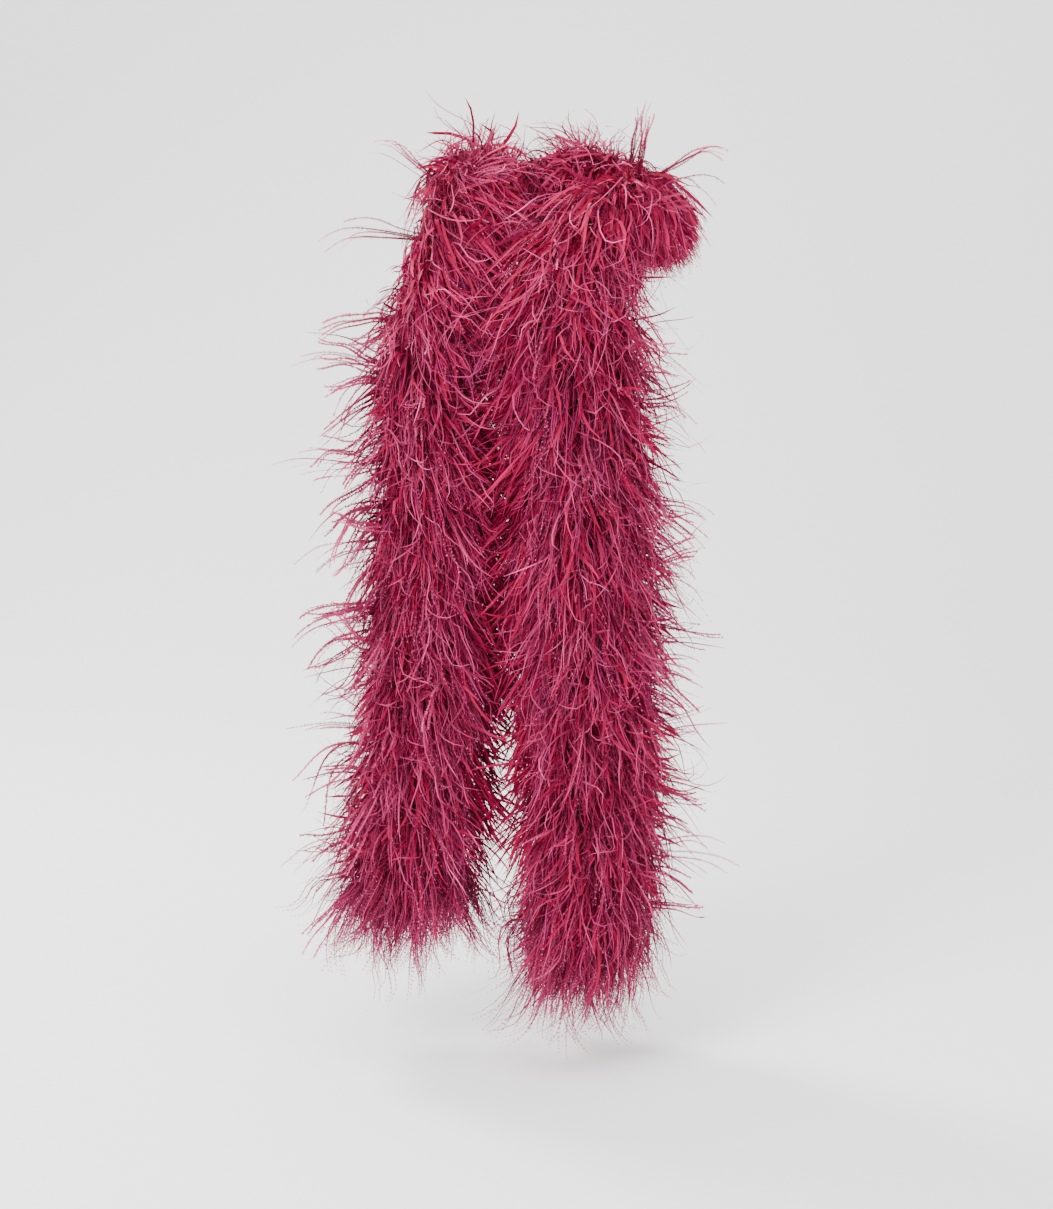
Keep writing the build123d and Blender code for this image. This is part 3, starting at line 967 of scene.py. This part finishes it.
def make_between_flues(boa):
    """The darker flues on the two tails' inner sides, where the tails lie against each other,
    coloured as painted shade between the tails.
    """
    rng = np.random.default_rng(RANDOM_SEED + 5)
    spread = {
        "s": 0.004, "azimuth": 0.2, "lean": 0.2, "length": 0.1, "sag": 0.2,
        "wave": 0.4, "waves": 0.2, "hook": 0.4, "phase": 0.6, "hook_angle": 0.8, "twist": 0.3,
    }
    ranges = {
        "lean": (-0.6, 0.6), "length": (1.05, 1.6), "sag": (1.0, 2.8),
        "wave": (0, 3.0), "waves": (0.5, 1.5), "hook": (0, 3.0),
    }
    for side, way, between in (("left", 1.0, (0.02, 0.36)), ("right", -1.0, (0.63, 0.95))):
        shape = tufted(rng, boa, BETWEEN_FLUES, 1, spread, ranges, between)
        place, _, normal, binormal = boa.frames(shape["s"])
        inward = np.array([way, 0.3, 0.0])
        facing = np.arctan2(binormal @ inward, normal @ inward)
        shape["azimuth"] = facing + rng.normal(0, 0.4, len(facing))
        share = np.where(apart(place[:, 2]), APART_KEPT, 1.0)
        keep = rng.uniform(0, 1, len(facing)) < share
        shape = {key: values[keep] for key, values in shape.items()}
        lines = grow(boa, shape, steps=8, crowding=0.0)
        # these flues take the darker flue material, as painted shade between the tails
        flat_layer(rng, boa, f"inner_flues_{side}", lines, shape["s"], (1.6, 2.9), PAINTED_SHADE_FLUE)


def make_loose_flues(boa):
    """Sparse longer flues that stand out of the fringe, feathery at this scale."""
    rng = np.random.default_rng(RANDOM_SEED + 1)
    spread = {
        "s": 0.008, "azimuth": 0.35, "lean": 0.25, "length": 0.12, "sag": 0.3,
        "wave": 0.4, "waves": 0.2, "hook": 0.5, "phase": 0.4, "hook_angle": 0.5, "twist": 0.2,
    }
    loose = tufted(rng, boa, LOOSE_TUFTS, LOOSE_TUFT, spread, {
        "lean": (-0.8, 0.8), "length": (1.3, 1.7), "sag": (0.3, 2.6),
        "wave": (1.0, 8.0), "waves": (0.8, 2.4), "hook": (0, 7.0),
    })
    lines = grow(boa, loose, steps=14)
    flue_layer(rng, boa, "loose_flues", lines, loose["s"], (1.2, 2.0))
    barb_layer(rng, boa, "loose_barbs", lines, loose["s"], (2.4, 4.0), teeth=52, base=1.1)


def make_crest_flues(boa):
    """The curly flues that stand up from the collar, in a crest at each side of the neck."""
    rng = np.random.default_rng(RANDOM_SEED + 6)
    spread = {
        "s": 0.006, "azimuth": 0.12, "lean": 0.12, "length": 0.12, "sag": 0.2,
        "wave": 0.5, "waves": 0.12, "hook": 0.5, "phase": 0.3, "hook_angle": 0.4, "twist": 0.15,
    }
    ranges = {
        "lean": (-0.6, 0.6), "sag": (-0.9, 1.2),
        "wave": (2.5, 7.5), "waves": (0.9, 2.4), "hook": (0.5, 6.0),
    }
    for side, between, length in (
        ("left", (0.375, 0.425), (0.8, 1.2)), ("right", (0.468, 0.52), (0.85, 1.25))
    ):
        drawn = {**ranges, "length": length}
        shape = tufted(rng, boa, CREST_BUNCHES, CREST_BUNCH, spread, drawn, between)
        _, _, normal, binormal = boa.frames(shape["s"])
        bunch = np.arange(len(shape["s"])) // CREST_BUNCH
        upward = np.arctan2(binormal[:, 2], normal[:, 2])
        off = rng.normal(0, 0.5, CREST_BUNCHES)[bunch]
        shape["azimuth"] = upward + off + rng.normal(0, 0.08, len(bunch))
        lines = gather(rng, grow(boa, shape, steps=16), bunch, (0.1, 0.6))
        roots = shape["s"]
        flue_layer(rng, boa, f"crest_flues_{side}", lines, roots, (1.3, 2.3))
        barb_layer(rng, boa, f"crest_barbs_{side}", lines, roots, (2.4, 4.0), teeth=44, base=1.4)


def make_side_flues(boa):
    """The longest flues: those that stand out sideways from the outer edge of each tail."""
    rng = np.random.default_rng(RANDOM_SEED + 4)
    spread = {
        "s": 0.003, "azimuth": 0.0, "lean": 0.08, "length": 0.16, "sag": 0.15,
        "wave": 0.3, "waves": 0.07, "hook": 0.4, "phase": 0.2, "hook_angle": 0.25, "twist": 0.08,
    }
    ranges = {
        "lean": (-0.5, 0.3), "sag": (0.1, 1.2),
        "wave": (1.0, 6.0), "waves": (0.8, 2.4), "hook": (0, 4.0),
    }
    for side, tufts, between, length in (
        ("left", 48, (0.0, 0.31), (1.7, 2.4)), ("right", 28, (0.68, 1.0), (1.4, 1.85))
    ):
        drawn = {**ranges, "length": length}
        shape = tufted(rng, boa, tufts, SIDE_BUNCH, spread, drawn, between)
        _, _, normal, binormal = boa.frames(shape["s"])
        outward = np.array([-1.0 if side == "left" else 1.0, -0.15, 0.0])
        facing = np.arctan2(binormal @ outward, normal @ outward)
        bunch = np.arange(len(facing)) // SIDE_BUNCH
        off = rng.normal(0, 0.42, tufts)[bunch]
        shape["azimuth"] = facing + off + rng.normal(0, 0.05, len(bunch))
        lines = gather(rng, grow(boa, shape, steps=20), bunch, (0.3, 0.8))
        roots = shape["s"]
        flue_layer(rng, boa, f"side_flues_{side}", lines, roots, (2.2, 3.4))
        barb_layer(rng, boa, f"side_barbs_{side}", lines, roots, (3.2, 5.0), teeth=84, base=2.2)


def make_end_brushes(boa, lines):
    """The flues that hang down past each end of the boa, in wisps that curl at their tips."""
    rng = np.random.default_rng(RANDOM_SEED + 2)
    for side in ("left", "right"):
        body = f"{side}_lower"
        tangents, normals, binormals = line_frames(lines[body])
        wisps = END_WISPS
        count = wisps * END_WISP
        wisp = np.repeat(np.arange(wisps), END_WISP)
        open_angle = END_OPENING * rng.uniform(0, 1, wisps) ** 0.6
        open_angle = open_angle[wisp] + rng.normal(0, 0.1, count)
        azimuth = rng.uniform(0, 2 * math.pi, wisps)[wisp] + rng.normal(0, 0.12, count)
        across = np.cos(azimuth)[:, None] * normals[-1] + np.sin(azimuth)[:, None] * binormals[-1]
        opening = open_angle[:, None]
        heading = tangents[-1] * np.cos(opening) + across * np.sin(opening)
        shape = {
            "length": END_SHORTEST + END_LONGER * (rng.uniform(0, 1, wisps) ** 1.8)[wisp]
            + rng.normal(0, 0.008, count),
            "sag": rng.uniform(0.4, 2.0, count),
            "wave": rng.uniform(2.5, 11.0, wisps)[wisp],
            "waves": rng.uniform(1.0, 2.6, wisps)[wisp],
            "phase": rng.uniform(0, 2 * math.pi, wisps)[wisp] + rng.normal(0, 0.2, count),
            "hook": rng.uniform(0, 6.0, wisps)[wisp] + rng.normal(0, 0.5, count),
            "hook_angle": rng.uniform(0, 2 * math.pi, wisps)[wisp] + rng.normal(0, 0.25, count),
            "twist": unit(rng.normal(0, 1, (wisps, 3)))[wisp] + rng.normal(0, 0.08, (count, 3)),
        }
        root = lines[body][-1] - tangents[-1] * rng.uniform(0, 0.03, (count, 1))
        flues = bend(root + across * FLUE_ROOT_R, heading, shape, steps=12)
        end = np.array([0.0 if side == "left" else boa.length])
        share = np.linspace(0, 1, flues.shape[1])[None, :, None]
        flues = flues + boa.sweep(end)[:, None] * share
        flues = gather(rng, flues, wisp, (0.2, 0.8))
        built = flue_ribbons(rng, flues, rng.uniform(1.3, 2.4, count) * MM)
        brush = flue_piece(f"end_brush_{side}", built, OUTER_FLUE)
        built = flue_barbs(rng, flues, rng.uniform(2.2, 3.8, count) * MM, 30, 1.4 * MM)
        barbs = flue_piece(f"end_brush_barbs_{side}", built, OUTER_FLUE)
        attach(brush, body)
        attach(barbs, body)
        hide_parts(f"end_flues_{side}")


# ---------------------------------------------------------------- the long loose flues
# as in the CAD model: how far down the stretch (mm), azimuth and rise (degrees), clear of
# the cord, length and droop (mm)
LONG_FLUES = {
    "neck": [
        (80, 190, 10, 72, 66, 22),
        (160, 195, 40, 70, 56, 14),
        (330, 95, 25, 58, 50, 16),
        (440, 60, 62, 58, 52, 6),
        (520, 10, 30, 60, 60, 22),
        (600, 330, 20, 74, 62, 34),
        (540, 300, 74, 62, 42, 4),
        (690, 265, 20, 76, 50, 26),
    ],
    "left_upper": [
        (60, 178, 8, 75, 78, 14),
        (165, 184, 6, 76, 100, 12),
        (110, 262, 4, 75, 62, 26),
    ],
    "left_middle": [
        (60, 172, -4, 75, 80, 22),
        (150, 186, 0, 76, 78, 26),
        (120, 276, 2, 75, 60, 30),
    ],
    "left_lower": [
        (80, 180, 4, 76, 80, 8),
        (190, 184, -8, 80, 78, 22),
        (120, 255, -2, 76, 66, 28),
    ],
    "right_upper": [
        (70, 4, 2, 88, 48, 22),
        (140, 280, 6, 88, 50, 24),
        (110, 80, 0, 88, 42, 18),
    ],
    "right_middle": [
        (60, 356, -4, 88, 50, 26),
        (150, 5, 10, 88, 56, 12),
        (100, 268, 0, 88, 52, 22),
    ],
    "right_lower": [
        (60, 2, 14, 88, 76, 6),
        (170, 354, 0, 92, 76, 16),
        (120, 262, -4, 88, 52, 24),
    ],
}
LONG_FLUE_BENDS = ((0.4, 0.0), (0.72, 0.35), (0.95, 1.0))  # shares of its length and droop
LONG_FLUE_MATES = 4  # finer flues that start beside each long one


def make_long_flues(lines):
    """The long flues that stand out of the fringe, each with its full fan of barbules."""
    rng = np.random.default_rng(RANDOM_SEED + 3)
    for body, flues in LONG_FLUES.items():
        line = lines[body]
        _, length = resample(line, len(line))
        curves = []
        for down, azimuth, rise, clear, reach, droop in flues:
            index = round(down * MM / length * (len(line) - 1))
            for mate in range(1 + LONG_FLUE_MATES):
                off = rng.normal(0, 9, 2) if mate else np.zeros(2)
                turn, lift = np.radians([azimuth + off[0], rise + off[1]])
                level = math.cos(lift)
                out = np.array([math.cos(turn) * level, math.sin(turn) * level, math.sin(lift)])
                share = rng.uniform(0.45, 0.95) if mate else 1.0
                start = line[index] + out * clear * MM
                points = [line[index] + out * FLUE_ROOT_R, (line[index] + start) / 2, start]
                for far, fall in LONG_FLUE_BENDS:
                    points.append(start + (out * reach * far + DOWN * droop * fall) * share * MM)
                fine, _ = resample(smooth_line(points), LONG_FLUE_POINTS)
                curves.append(fine)
        curves = np.stack(curves)
        along = np.linspace(0, 1, LONG_FLUE_POINTS)[None]
        wave = np.sin(along * rng.uniform(6, 14, (len(curves), 1)))
        across = unit(np.cross(curves[:, -1] - curves[:, 0], rng.normal(0, 1, (len(curves), 3))))
        growth = along[..., None] ** 1.5
        curves = curves + across[:, None] * wave[..., None] * growth * LONG_FLUE_WAVE
        built = flue_ribbons(rng, curves, rng.uniform(1.4, 2.2, len(curves)) * MM)
        shafts = flue_piece(f"long_flues_{body}_shafts", built, OUTER_FLUE)
        reaches = rng.uniform(3.0, 4.8, len(curves)) * MM
        built = flue_barbs(rng, curves, reaches, 80, 1.2 * MM)
        barbs = flue_piece(f"long_flues_{body}_barbs", built, OUTER_FLUE)
        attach(shafts, body)
        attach(barbs, body)
        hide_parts(f"long_flues_{body}")


make_camera()
make_stage()
cord_lines = make_cords()
boa = Boa(cord_lines)
make_fringe(boa)
make_between_flues(boa)
make_loose_flues(boa)
make_crest_flues(boa)
make_side_flues(boa)
make_end_brushes(boa, cord_lines)
make_long_flues(cord_lines)
